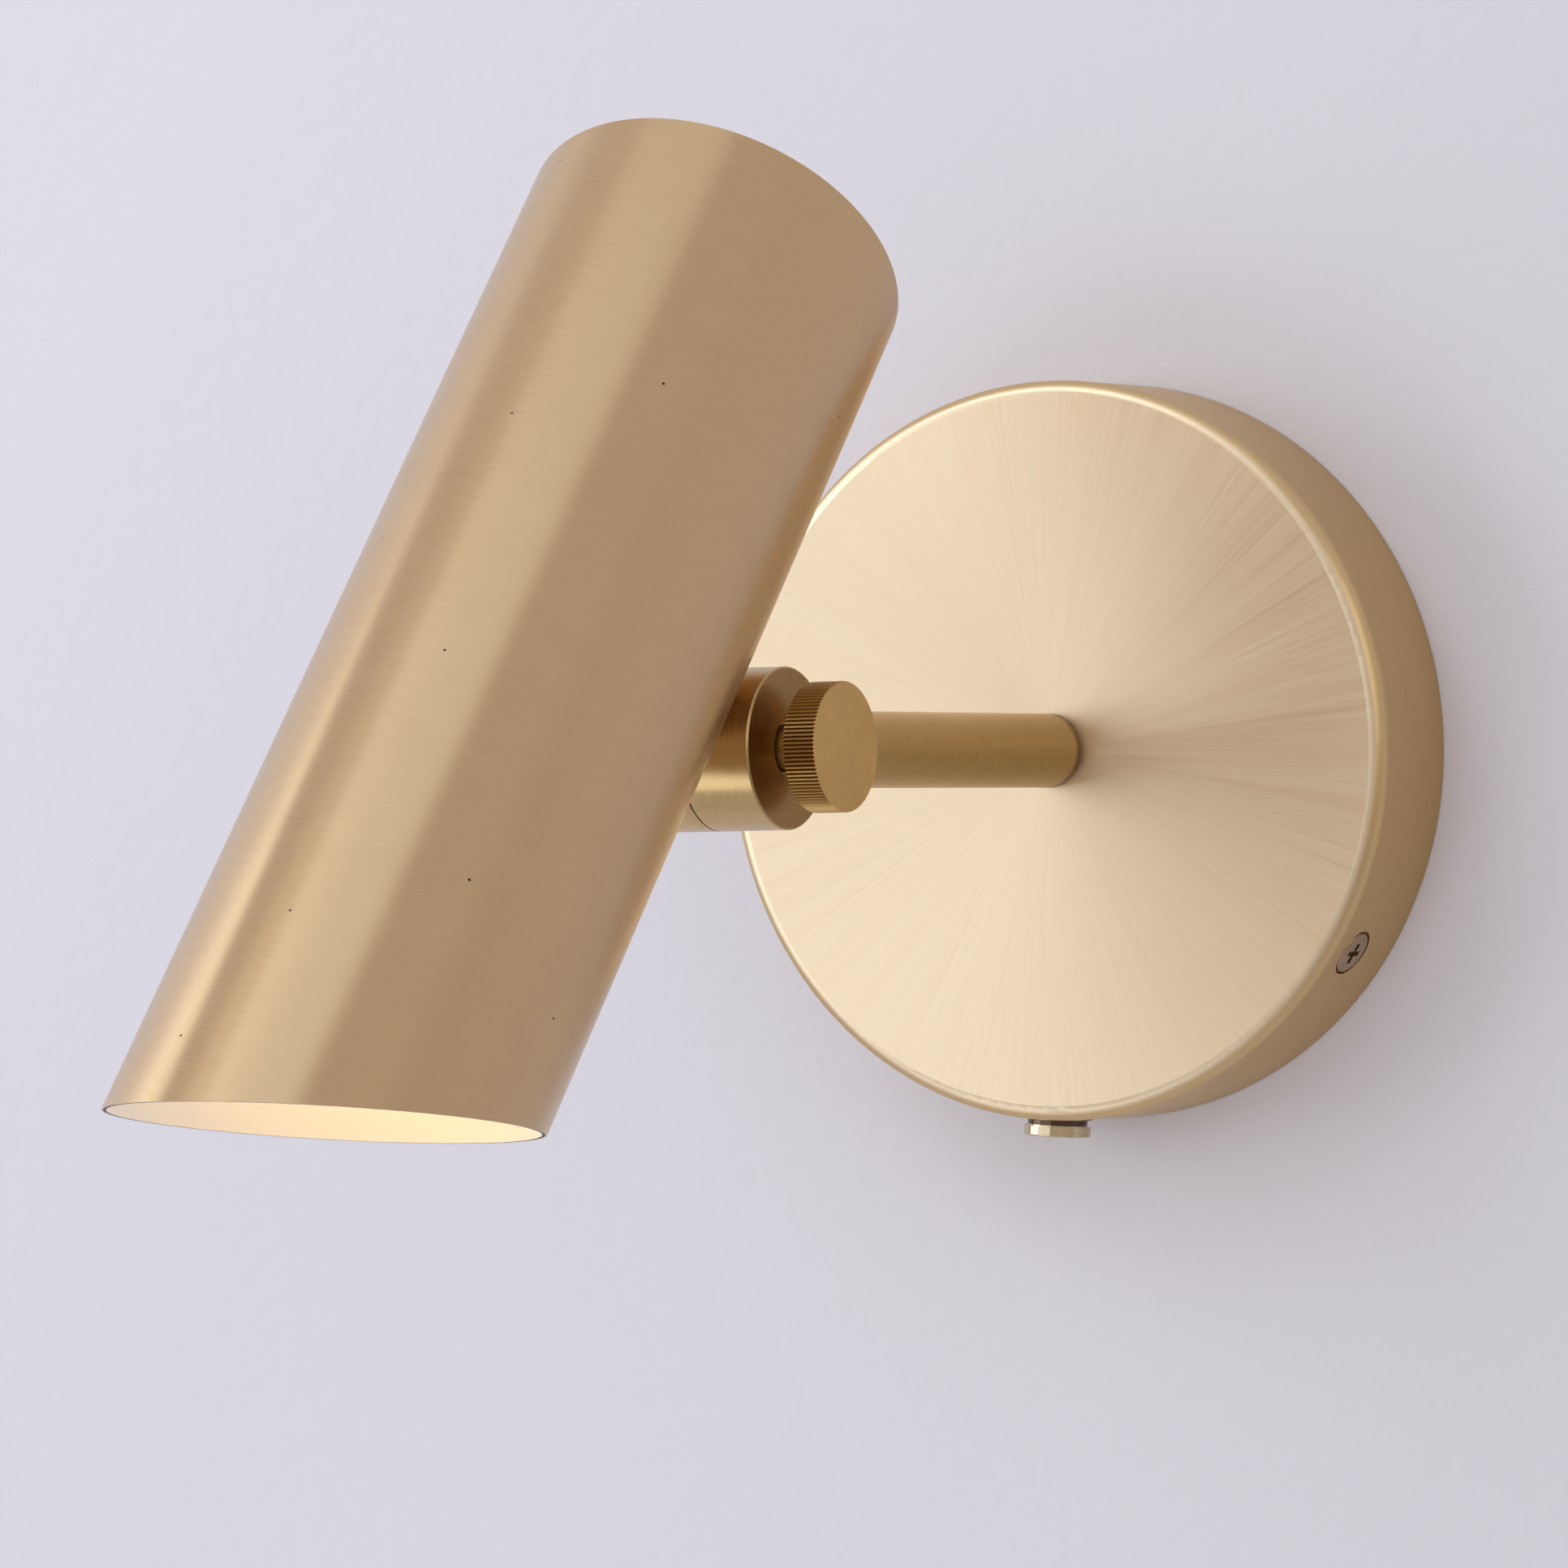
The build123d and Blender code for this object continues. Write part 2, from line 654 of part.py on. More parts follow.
# Lampholder body, with its threaded shell and centre contact
with BuildPart() as lampholder:
    with BuildSketch(shade_axis.offset(holder_bottom)):
        Circle(holder_diameter / 2)
    extrude(amount=holder_length)
    fillet(lampholder.faces().sort_by(shade_line)[-1].edges(), holder_edge)
    with BuildSketch(shade_axis.offset(holder_bottom)):
        Circle(holder_cavity / 2)
    extrude(amount=holder_length - holder_roof, mode=Mode.SUBTRACT)
    with BuildSketch(shade_axis.offset(holder_top)):
        Circle(nipple_radius + seat_clearance)
    extrude(amount=-holder_roof, mode=Mode.SUBTRACT)

with BuildPart() as lampholder_shell:
    with BuildSketch(shade_axis.offset(holder_bottom + shell_setback)):
        Circle(holder_cavity / 2 - seat_clearance)
        Circle(holder_cavity / 2 - seat_clearance - shell_wall, mode=Mode.SUBTRACT)
    extrude(amount=shell_length)

with BuildPart() as lampholder_contact:
    with BuildSketch(shade_axis.offset(bulb_top)):
        Circle(contact_diameter / 2)
    extrude(amount=contact_thickness)

# Bulb: screw base, end contact and round glass
with BuildPart() as bulb_base:
    with BuildSketch(shade_axis.offset(globe_top)):
        Circle(bulb_base_diameter / 2)
    extrude(amount=bulb_base_length)
    with BuildSketch(shade_axis.offset(globe_top)):
        Circle(bulb_base_diameter / 2 - bulb_base_wall)
    extrude(amount=bulb_base_length - bulb_base_wall, mode=Mode.SUBTRACT)

with BuildPart() as bulb_contact:
    with BuildSketch(shade_axis.offset(base_top)):
        Circle(bulb_contact_diameter / 2)
    extrude(amount=bulb_contact_height)
    fillet(bulb_contact.faces().sort_by(shade_line)[-1].edges(), bulb_contact_height / 2)

with BuildPart() as bulb_globe:
    for inset, mode in ((0, Mode.ADD), (bulb_glass, Mode.SUBTRACT)):
        ball_radius = bulb_diameter / 2 - inset
        neck_radius = bulb_base_diameter / 2 - inset
        leave = neck_angle(ball_radius, neck_radius, globe_top - globe_centre)
        with BuildSketch(shade_section):
            with BuildLine():
                ball = CenterArc((0, globe_centre), ball_radius, -90, 90 + leave)
                Polyline(ball @ 1, (neck_radius, globe_top), (0, globe_top), ball @ 0)
            make_face()
        revolve(axis=shade_line, mode=mode)

# Push switch: housing, threaded bushing and nut inside the rim
rim_below = rim_plane(button_angle, button_height)
with BuildPart() as switch_housing:
    with BuildSketch(rim_below.offset(-housing_start)):
        RectangleRounded(housing_depth, housing_width, housing_corner)
    extrude(amount=-housing_length)
    with BuildSketch(rim_below.offset(-housing_start)):
        Circle(bushing_diameter / 2 + seat_clearance)
    extrude(amount=-bushing_grip, mode=Mode.SUBTRACT)
    with BuildSketch(rim_below.offset(-housing_start)):
        Circle(plunger_diameter / 2 + hole_clearance)
    extrude(
        amount=-(bushing_grip + plunger_overrun + button_travel + housing_end_room), mode=Mode.SUBTRACT
    )

with BuildPart() as switch_bushing:
    with BuildSketch(rim_below):
        Circle(bushing_diameter / 2)
        Circle(plunger_diameter / 2 + running_clearance, mode=Mode.SUBTRACT)
    extrude(amount=-bushing_length)

with BuildPart() as switch_nut:
    with BuildSketch(rim_below.offset(-housing_start)):
        Circle(switch_nut_diameter / 2)
        Circle(bushing_diameter / 2 + seat_clearance, mode=Mode.SUBTRACT)
    extrude(amount=switch_nut_thickness)

# Push button: cap and plunger
with BuildPart() as push_button:
    with BuildSketch(rim_below.offset(button_gap)):
        Circle(button_diameter / 2)
    extrude(amount=button_thickness)
    fillet(push_button.faces().sort_by(Axis.Z)[0].edges(), button_edge)
    with BuildSketch(rim_below.offset(button_gap)):
        Circle(plunger_diameter / 2)
    extrude(amount=-(button_gap + bushing_length + plunger_overrun))

pieces = {
    "canopy": canopy,
    "wall_plate": wall_plate,
    "canopy_screws": canopy_screws,
    "earth_screw": earth_screw,
    "terminal_block": terminal_block,
    "terminal_screws": terminal_screws,
    "terminal_fixing": terminal_fixing,
    "arm": arm,
    "arm_nipple": arm_nipple,
    "arm_washer": arm_washer,
    "arm_nut": arm_nut,
    "barrel_nipple": barrel_nipple,
    "barrel": barrel,
    "friction_washer": friction_washer,
    "thumb_knob": thumb_knob,
    "clamp_stud": clamp_stud,
    "saddle": saddle,
    "stop_pin": stop_pin,
    "shade": shade,
    "shade_cap": shade_cap,
    "saddle_screws": saddle_screws,
    "holder_bracket": holder_bracket,
    "holder_nipple": holder_nipple,
    "holder_nut": holder_nut,
    "lampholder": lampholder,
    "lampholder_shell": lampholder_shell,
    "lampholder_contact": lampholder_contact,
    "bulb_base": bulb_base,
    "bulb_contact": bulb_contact,
    "bulb_globe": bulb_globe,
    "switch_housing": switch_housing,
    "switch_bushing": switch_bushing,
    "switch_nut": switch_nut,
    "push_button": push_button,
}
os.makedirs("parts", exist_ok=True)
for name, piece in pieces.items():
    piece.part.label = name
    export_step(piece.part, f"parts/{name}.step")
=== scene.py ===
import json
import math

import bmesh
import bpy
from mathutils import Matrix, Vector


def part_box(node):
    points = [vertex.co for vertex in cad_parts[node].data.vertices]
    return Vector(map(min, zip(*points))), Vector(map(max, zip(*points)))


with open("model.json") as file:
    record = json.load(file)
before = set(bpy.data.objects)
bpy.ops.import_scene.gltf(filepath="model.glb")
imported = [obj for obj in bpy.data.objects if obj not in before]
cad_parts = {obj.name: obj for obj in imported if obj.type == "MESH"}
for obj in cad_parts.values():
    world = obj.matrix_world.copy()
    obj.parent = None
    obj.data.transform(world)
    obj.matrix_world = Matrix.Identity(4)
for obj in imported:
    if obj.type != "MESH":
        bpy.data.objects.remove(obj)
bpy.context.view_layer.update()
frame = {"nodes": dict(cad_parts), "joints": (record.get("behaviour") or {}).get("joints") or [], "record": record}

# Wall reading lamp in satin brass, with a tilting tube shade.
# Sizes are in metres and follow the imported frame: the wall is y = 0 and the room lies towards -Y.
# Inside a finish, places are in millimetres from the finish's own origin.

MM = 0.001

# Places and angles that the finishes follow
SHADE_TILT = math.radians(41.5)
SHADE_WALL = 0.8 * MM
BUTTON_ANGLE = math.radians(-94.5)
tilt_joint = next(joint for joint in frame["joints"] if joint["name"] == "shade_tilt")
knuckle_centre = Vector(tilt_joint["pos_m"])
shade_low, shade_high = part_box("shade")
shade_radius = (shade_high.x - shade_low.x) / 2
shade_axis = Vector((0, math.sin(SHADE_TILT), math.cos(SHADE_TILT)))
cap_low, cap_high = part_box("shade_cap")
shade_centre = (Vector(cap_low) + Vector(cap_high)) / 2
canopy_low, canopy_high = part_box("canopy")
canopy_radius = canopy_high.x
canopy_front = canopy_low.y / MM

# Knuckle, in millimetres from its centre along its axis, and the thumbscrew's radius
BARREL_END = 6.0
KNOB_FACE = 16.0
KNOB_RADIUS = 10.0

# Camera, as it stood for the photograph
CAMERA_PLACE = Vector((0.69941, -1.32628, -0.01882))
CAMERA_AZIMUTH = math.radians(29.873)
CAMERA_PITCH = math.radians(0.55)
CAMERA_ROLL = math.radians(-1.053)
CAMERA_LENS = 209.75
CAMERA_SENSOR = 36.0

# Axes, and the turns that lay a finish's local Z along them
ORIGIN = (0, 0, 0)
AXIS_X = (1, 0, 0)
AXIS_Y = (0, 1, 0)
NO_TURN = (0, 0, 0)
ALONG_X = (0, math.pi / 2, 0)
ALONG_Y = (-math.pi / 2, 0, 0)
ALONG_SHADE = (-SHADE_TILT, 0, 0)

# Depths of the brush marks and grains
BRUSH_DEPTH = 0.0012 * MM
TURNING_DEPTH = 0.0008 * MM
BUTTON_DEPTH = 0.002 * MM
PLATED_DEPTH = 0.004 * MM
MOULDED_DEPTH = 0.01 * MM
PAINT_DEPTH = 0.15 * MM

# Anisotropic rotation, a quarter turn from the tangent, for marks that run round an axis
ROUND_MARKS = 0.25


class Nodes:
    """A node tree, with short calls that add and link its nodes."""

    def __init__(self, tree):
        self.tree = tree

    def put(self, node, inputs):
        """Link or set a node's inputs."""
        for key, value in inputs.items():
            if isinstance(value, bpy.types.NodeSocket):
                self.tree.links.new(value, node.inputs[key])
            else:
                node.inputs[key].default_value = value

    def add(self, kind, inputs=None, **settings):
        node = self.tree.nodes.new(kind)
        for key, value in settings.items():
            setattr(node, key, value)
        self.put(node, inputs or {})
        return node

    def math(self, operation, a, b, clamp=False):
        node = self.add("ShaderNodeMath", {0: a, 1: b}, operation=operation, use_clamp=clamp)
        return node.outputs[0]

    def vector(self, operation, a, b=(0, 0, 0)):
        node = self.add("ShaderNodeVectorMath", {0: a, 1: b}, operation=operation)
        return node.outputs["Vector"]

    def scaled(self, a, factor):
        node = self.add("ShaderNodeVectorMath", {0: a, "Scale": factor}, operation="SCALE")
        return node.outputs["Vector"]

    def length(self, a):
        return self.add("ShaderNodeVectorMath", {0: a}, operation="LENGTH").outputs["Value"]

    def noise(self, vector, scale, detail, roughness=0.55):
        """Noise that mostly stays between 0.3 and 0.7."""
        inputs = {"Vector": vector, "Scale": scale, "Detail": detail, "Roughness": roughness}
        return self.add("ShaderNodeTexNoise", inputs).outputs["Fac"]

    def remap(self, value, low, high, to_low=0.0, to_high=1.0, smooth=False):
        inputs = {"Value": value, "From Min": low, "From Max": high}
        inputs.update({"To Min": to_low, "To Max": to_high})
        kind = "SMOOTHSTEP" if smooth else "LINEAR"
        return self.add("ShaderNodeMapRange", inputs, interpolation_type=kind).outputs["Result"]

    def blend(self, factor, a, b):
        """Colour a where the factor is 0 and b where it is 1; 6, 7 and 2 are the colour sockets."""
        node = self.add("ShaderNodeMix", {"Factor": factor, 6: a, 7: b}, data_type="RGBA")
        return node.outputs[2]


class Finish(Nodes):
    """A material with one principled shader."""

    def __init__(self, name):
        self.material = bpy.data.materials.new(name)
        self.material.use_nodes = True
        super().__init__(self.material.node_tree)
        self.shader = self.tree.nodes["Principled BSDF"]

    def set(self, **inputs):
        """Link or set the shader's inputs, with underscores for the spaces in their names."""
        self.put(self.shader, {key.replace("_", " "): value for key, value in inputs.items()})

    def bump(self, height, depth):
        inputs = {"Height": height, "Distance": depth, "Strength": 1.0}
        return self.add("ShaderNodeBump", inputs).outputs["Normal"]

    def local(self, origin=ORIGIN, turn=NO_TURN):
        """The surface point in millimetres from an origin, with local Z along the turned axis."""
        place = self.add("ShaderNodeTexCoord").outputs["Object"]
        inputs = {"Vector": place, "Location": origin, "Rotation": turn}
        mapping = self.add("ShaderNodeMapping", inputs, vector_type="TEXTURE")
        return self.scaled(mapping.outputs["Vector"], 1 / MM)

    def tube(self, origin, turn):
        """Direction round an axis, then millimetres from it and millimetres along it."""
        point = self.local(origin, turn)
        across = self.vector("MULTIPLY", point, (1, 1, 0))
        along = self.add("ShaderNodeSeparateXYZ", {0: point}).outputs["Z"]
        return self.vector("NORMALIZE", across), self.length(across), along

    def round_tangent(self, origin, axis):
        """Tangent that runs round an axis, kept with the piece when it moves."""
        place = self.add("ShaderNodeTexCoord").outputs["Object"]
        out = self.vector("SUBTRACT", place, origin)
        turned = self.vector("CROSS_PRODUCT", axis, out)
        kept = {"vector_type": "VECTOR", "convert_from": "OBJECT", "convert_to": "WORLD"}
        return self.add("ShaderNodeVectorTransform", {0: turned}, **kept).outputs[0]

    def lines(self, direction, place, turns, per_mm, detail=5.0):
        """Brush lines: noise drawn out round an axis, or out from it, with no seam."""
        spread = self.scaled(direction, turns)
        step = self.math("MULTIPLY", place, per_mm)
        across = self.add("ShaderNodeCombineXYZ", {"Z": step}).outputs[0]
        return self.noise(self.vector("ADD", spread, across), 1.0, detail, roughness=0.65)


SHADE_DARK = (0.59, 0.40, 0.21, 1)
SHADE_LIGHT = (0.625, 0.43, 0.23, 1)
SHADE_BANDS = (0.56, 0.375, 0.195, 1)
SHADE_SPECKS = (0.05, 0.03, 0.02, 1)
SHADE_CUT_EDGE_SHADE = (0.07, 0.04, 0.03, 1)
SHADE_INSIDE = (0.86, 0.84, 0.80, 1)
SPECK_CELLS_PER_MM = 0.11


def shade_finish():
    """Satin brass with brush lines round the tube and a few dark specks; white paint inside."""
    f = Finish("shade_brass")
    direction, radius, along = f.tube(shade_centre, ALONG_SHADE)
    fine = f.lines(direction, f.math("ADD", along, radius), turns=4.0, per_mm=5.0)
    bands = f.lines(direction, along, turns=2.0, per_mm=0.12, detail=2.0)
    point = f.local(shade_centre, ALONG_SHADE)
    cells = f.add("ShaderNodeTexVoronoi", {"Vector": point, "Scale": SPECK_CELLS_PER_MM})
    speck = f.remap(cells.outputs["Distance"], 0.022, 0.03, 1.0, 0.0)

    # White paint on the bore, and the cut edge at the mouth dull and near-black, partly raw metal and partly
    # painted shade, both below the cap only
    outer = shade_radius / MM
    bore = (shade_radius - SHADE_WALL) / MM
    below_cap = f.remap(along, -0.1, 0.1, 1.0, 0.0)
    inside = f.math("MULTIPLY", below_cap, f.remap(radius, bore + 0.1, bore + 0.2, 1.0, 0.0))
    lip = f.math("MULTIPLY", below_cap, f.remap(radius, outer - 0.3, outer - 0.2, 1.0, 0.0))

    brass = f.blend(f.remap(fine, 0.3, 0.7), SHADE_DARK, SHADE_LIGHT)
    brass = f.blend(f.remap(bands, 0.3, 0.7, 0.0, 0.3), brass, SHADE_BANDS)
    brass = f.blend(speck, brass, SHADE_SPECKS)
    # Painted shade: the cut edge goes near-black
    brass = f.blend(lip, brass, SHADE_CUT_EDGE_SHADE)
    satin = f.remap(fine, 0.25, 0.75, 0.235, 0.285)
    f.set(
        Base_Color=f.blend(inside, brass, SHADE_INSIDE),
        Metallic=f.math("SUBTRACT", 1.0, f.math("MAXIMUM", lip, inside), clamp=True),
        Roughness=f.math("ADD", satin, f.math("MULTIPLY", lip, 0.5)),
        Anisotropic=0.6,
        Anisotropic_Rotation=ROUND_MARKS,
        Tangent=f.round_tangent(shade_centre, shade_axis),
        Normal=f.bump(fine, BRUSH_DEPTH),
    )
    return f.material


FACE_DARK = (0.775, 0.61, 0.41, 1)
FACE_LIGHT = (0.83, 0.665, 0.455, 1)
FACE_HAZE = (0.85, 0.70, 0.51, 1)
RIM_DARK = (0.57, 0.385, 0.165, 1)
RIM_LIGHT = (0.63, 0.43, 0.20, 1)
RIM_SHOULDER_HIGHLIGHT = (0.66, 0.465, 0.23, 1)


def canopy_finish():
    """Pale brass, brushed out from the centre on the face and round the rim."""
    f = Finish("canopy_brass")
    direction, radius, along = f.tube(ORIGIN, ALONG_Y)
    rays = f.lines(direction, radius, turns=90.0, per_mm=0.02, detail=3.0)
    haze = f.lines(direction, radius, turns=16.0, per_mm=0.012, detail=2.0)
    rings = f.lines(direction, along, turns=3.0, per_mm=2.2)

    # The flat face, and the shoulder that rounds it into the rim
    face = f.remap(along, canopy_front + 0.05, canopy_front + 0.6, 1.0, 0.0, smooth=True)
    shoulder = f.remap(along, canopy_front + 1.6, canopy_front + 2.8, 1.0, 0.0)
    off_face = f.math("SUBTRACT", 1.0, face)
    brush = f.math("ADD", f.math("MULTIPLY", rays, face), f.math("MULTIPLY", rings, off_face))

    face_brass = f.blend(f.remap(brush, 0.3, 0.7), FACE_DARK, FACE_LIGHT)
    face_brass = f.blend(f.remap(haze, 0.35, 0.65, 0.0, 0.3), face_brass, FACE_HAZE)
    rim_brass = f.blend(f.remap(brush, 0.3, 0.7), RIM_DARK, RIM_LIGHT)
    # The shoulder is painted lighter than the rest of the rim, a painted highlight
    rim_brass = f.blend(shoulder, rim_brass, RIM_SHOULDER_HIGHLIGHT)
    satin = f.remap(brush, 0.25, 0.75, 0.31, 0.37)
    duller = f.math("MULTIPLY", face, f.remap(haze, 0.35, 0.65, 0.07, 0.09))
    f.set(
        Base_Color=f.blend(face, rim_brass, face_brass),
        Metallic=1.0,
        Roughness=f.math("ADD", satin, duller),
        Anisotropic=0.5,
        Anisotropic_Rotation=f.remap(face, 0.45, 0.55, ROUND_MARKS, 0.0),
        Tangent=f.round_tangent(ORIGIN, AXIS_Y),
        Normal=f.bump(brush, BRUSH_DEPTH),
    )
    return f.material


def turned_brass(name, light, dark, origin, turn, axis, roughness, anisotropy, painted_shade, painted_shade_colour):
    """Brass with turning lines round an axis; painted_shade(f, radius, along) says where painted shade darkens it.
    """
    f = Finish(name)
    direction, radius, along = f.tube(origin, turn)
    turning = {"turns": 2.0, "per_mm": 1.6, "detail": 1.5}
    side = f.lines(direction, along, **turning)
    rings = f.lines(direction, radius, **turning)
    brush = f.math("MULTIPLY", f.math("ADD", side, rings), 0.5)
    cloud = f.noise(f.local(origin, turn), scale=0.16, detail=2.0)
    brass = f.blend(f.remap(brush, 0.35, 0.65), dark, light)
    brass = f.blend(f.remap(cloud, 0.35, 0.7, 0.0, 0.4), brass, dark)
    f.set(
        # The mask darkens the brass to the given colour there, as painted shade
        Base_Color=f.blend(painted_shade(f, radius, along), brass, painted_shade_colour),
        Metallic=1.0,
        Roughness=f.remap(brush, 0.3, 0.7, roughness - 0.04, roughness + 0.06),
        Anisotropic=anisotropy,
        Anisotropic_Rotation=ROUND_MARKS,
        Tangent=f.round_tangent(origin, axis),
        Normal=f.bump(brush, TURNING_DEPTH),
    )
    return f.material


def arm_joint(f, radius, along):
    """The arm's last two millimetres, where it meets the canopy, darkened as painted shade."""
    return f.remap(along, canopy_front - 2.0, canopy_front - 0.8, 0.0, 0.85)


def barrel_end(f, radius, along):
    """The barrel's flat end, darkened as painted shade from the thumbscrew beside it."""
    return f.remap(along, BARREL_END - 0.3, BARREL_END - 0.05)


def knob_side(f, radius, along):
    """The knurled side of the thumbscrew, darkened as painted shade, darkest at the bottom of its grooves."""
    behind_face = f.remap(along, KNOB_FACE - 0.15, KNOB_FACE - 0.03, 1.0, 0.0)
    side = f.math("MULTIPLY", f.remap(radius, KNOB_RADIUS - 0.5, KNOB_RADIUS - 0.35), behind_face)
    groove = f.remap(radius, KNOB_RADIUS - 0.22, KNOB_RADIUS - 0.03, 1.0, 0.2)
    return f.math("MULTIPLY", side, groove)


BUTTON_DARK = (0.58, 0.46, 0.30, 1)
BUTTON_LIGHT = (0.66, 0.53, 0.36, 1)
BUTTON_NECK_SHADE = (0.10, 0.065, 0.04, 1)


def button_finish():
    """Polished nickel with a yellow tint; painted shade makes the neck above the cap near-black."""
    f = Finish("button_nickel")
    outward = (math.cos(BUTTON_ANGLE), 0, math.sin(BUTTON_ANGLE))
    place = f.add("ShaderNodeTexCoord").outputs["Object"]
    reach = f.add("ShaderNodeVectorMath", {0: place, 1: outward}, operation="DOT_PRODUCT")
    depth = f.remap(reach.outputs["Value"], canopy_radius, canopy_radius + MM)
    # Painted shade on the neck, which stands in for the dark gap that it reflects under the rim
    neck = f.remap(depth, 0.96, 1.0, 1.0, 0.0)
    cloud = f.noise(f.local(), scale=0.6, detail=4.0)
    metal = f.blend(f.remap(cloud, 0.3, 0.7), BUTTON_DARK, BUTTON_LIGHT)
    f.set(
        Base_Color=f.blend(neck, metal, BUTTON_NECK_SHADE),
        Metallic=1.0,
        Roughness=f.remap(cloud, 0.3, 0.7, 0.07, 0.13),
        Normal=f.bump(cloud, BUTTON_DEPTH),
    )
    return f.material


def plated(name, light, dark, roughness, grain):
    """Plated or pressed metal with a faint cloudy grain."""
    f = Finish(name)
    cloud = f.noise(f.local(), grain, detail=4.0)
    f.set(
        Base_Color=f.blend(f.remap(cloud, 0.3, 0.7), dark, light),
        Metallic=1.0,
        Roughness=f.remap(cloud, 0.3, 0.7, roughness, roughness + 0.08),
        Normal=f.bump(cloud, PLATED_DEPTH),
    )
    return f.material


def moulded(name, light, dark, roughness, grain):
    """Moulded plastic or pressed fibre with a fine grain."""
    f = Finish(name)
    grains = f.noise(f.local(), grain, detail=4.0)
    f.set(
        Base_Color=f.blend(f.remap(grains, 0.3, 0.7), dark, light),
        Roughness=f.remap(grains, 0.3, 0.7, roughness, roughness + 0.12),
        Normal=f.bump(grains, MOULDED_DEPTH),
    )
    return f.material


OPAL_GLASS = (0.93, 0.90, 0.84, 1)
OPAL_MIDDLE = (1.0, 0.765, 0.43, 1)
OPAL_SIDES = (1.0, 0.70, 0.37, 1)
OPAL_RADIUS = 22.0
OPAL_STRENGTH = 4.1


def opal_finish():
    """Lit opal glass, paler along its middle and warmer towards its sides."""
    f = Finish("opal_glass")
    radius = f.tube(shade_centre, ALONG_SHADE)[1]
    f.set(
        Base_Color=OPAL_GLASS,
        Roughness=0.35,
        Emission_Color=f.blend(f.remap(radius, 0.0, OPAL_RADIUS), OPAL_MIDDLE, OPAL_SIDES),
        Emission_Strength=OPAL_STRENGTH,
    )
    return f.material


# Plated and moulded materials: light and dark colour, roughness, and grains to the millimetre
PLATED = {
    "plain_brass": ((0.76, 0.56, 0.29, 1), (0.68, 0.48, 0.22, 1), 0.22, 0.4),
    "zinc_steel": ((0.66, 0.67, 0.68, 1), (0.55, 0.56, 0.57, 1), 0.32, 0.5),
    "nickel": ((0.44, 0.31, 0.19, 1), (0.34, 0.23, 0.13, 1), 0.2, 0.5),
    "bulb_metal": ((0.78, 0.78, 0.79, 1), (0.70, 0.70, 0.71, 1), 0.26, 0.5),
}
MOULDED = {
    "white_plastic": ((0.84, 0.84, 0.82, 1), (0.78, 0.78, 0.75, 1), 0.38, 1.5),
    "black_plastic": ((0.035, 0.035, 0.037, 1), (0.02, 0.02, 0.021, 1), 0.38, 1.5),
    "fibre": ((0.10, 0.085, 0.07, 1), (0.06, 0.05, 0.04, 1), 0.7, 2.5),
}

finishes = {
    "shade_brass": shade_finish(),
    "canopy_brass": canopy_finish(),
    "arm_brass": turned_brass(
        "arm_brass",
        light=(0.56, 0.39, 0.18, 1),
        dark=(0.47, 0.32, 0.13, 1),
        origin=ORIGIN,
        turn=ALONG_Y,
        axis=AXIS_Y,
        roughness=0.30,
        anisotropy=0.4,
        painted_shade=arm_joint,
        # Colour of the painted shade where the arm meets the canopy
        painted_shade_colour=(0.16, 0.09, 0.035, 1),
    ),
    "knuckle_brass": turned_brass(
        "knuckle_brass",
        light=(0.62, 0.43, 0.205, 1),
        dark=(0.53, 0.36, 0.155, 1),
        origin=knuckle_centre,
        turn=ALONG_X,
        axis=AXIS_X,
        roughness=0.28,
        anisotropy=0.5,
        painted_shade=barrel_end,
        # Colour of the painted shade on the barrel's end
        painted_shade_colour=(0.36, 0.22, 0.085, 1),
    ),
    "knob_brass": turned_brass(
        "knob_brass",
        light=(0.67, 0.435, 0.155, 1),
        dark=(0.59, 0.365, 0.12, 1),
        origin=knuckle_centre,
        turn=ALONG_X,
        axis=AXIS_X,
        roughness=0.36,
        anisotropy=0.4,
        painted_shade=knob_side,
        # Colour of the painted shade on the knurled side
        painted_shade_colour=(0.20, 0.11, 0.03, 1),
    ),
    "opal_glass": opal_finish(),
}
finishes.update({name: plated(name, *look) for name, look in PLATED.items()})
finishes.update({name: moulded(name, *look) for name, look in MOULDED.items()})
for subpart in frame["record"]["subparts"]:
    mesh = frame["nodes"][subpart["node"]].data
    mesh.materials.clear()
    mesh.materials.append(finishes[subpart["material_slot"]])
frame["nodes"]["push_button"].data.materials[0] = button_finish()

HOLE_SIDES = 96


def stage_plane(name, corners, hole=None):
    """A flat backdrop, with a round hole of a given radius about the origin if one is given."""
    shape = bmesh.new()
    outer = [shape.verts.new(corner) for corner in corners]
    if hole is None:
        shape.faces.new(outer)
    else:
        angles = [2 * math.pi * i / HOLE_SIDES for i in range(HOLE_SIDES)]
        ring = [shape.verts.new((hole * math.cos(a), 0, hole * math.sin(a))) for a in angles]
        edges = [
            shape.edges.new((loop[i], loop[i - 1]))
            for loop in (outer, ring)
            for i in range(len(loop))
        ]
        bmesh.ops.triangle_fill(shape, edges=edges, use_beauty=True)
        shape.normal_update()
        backward = [face for face in shape.faces if face.normal.y > 0]
        bmesh.ops.reverse_faces(shape, faces=backward)
    mesh = bpy.data.meshes.new(name)
    shape.to_mesh(mesh)
    shape.free()
    piece = bpy.data.objects.new(name, mesh)
    bpy.context.scene.collection.objects.link(piece)
    return piece


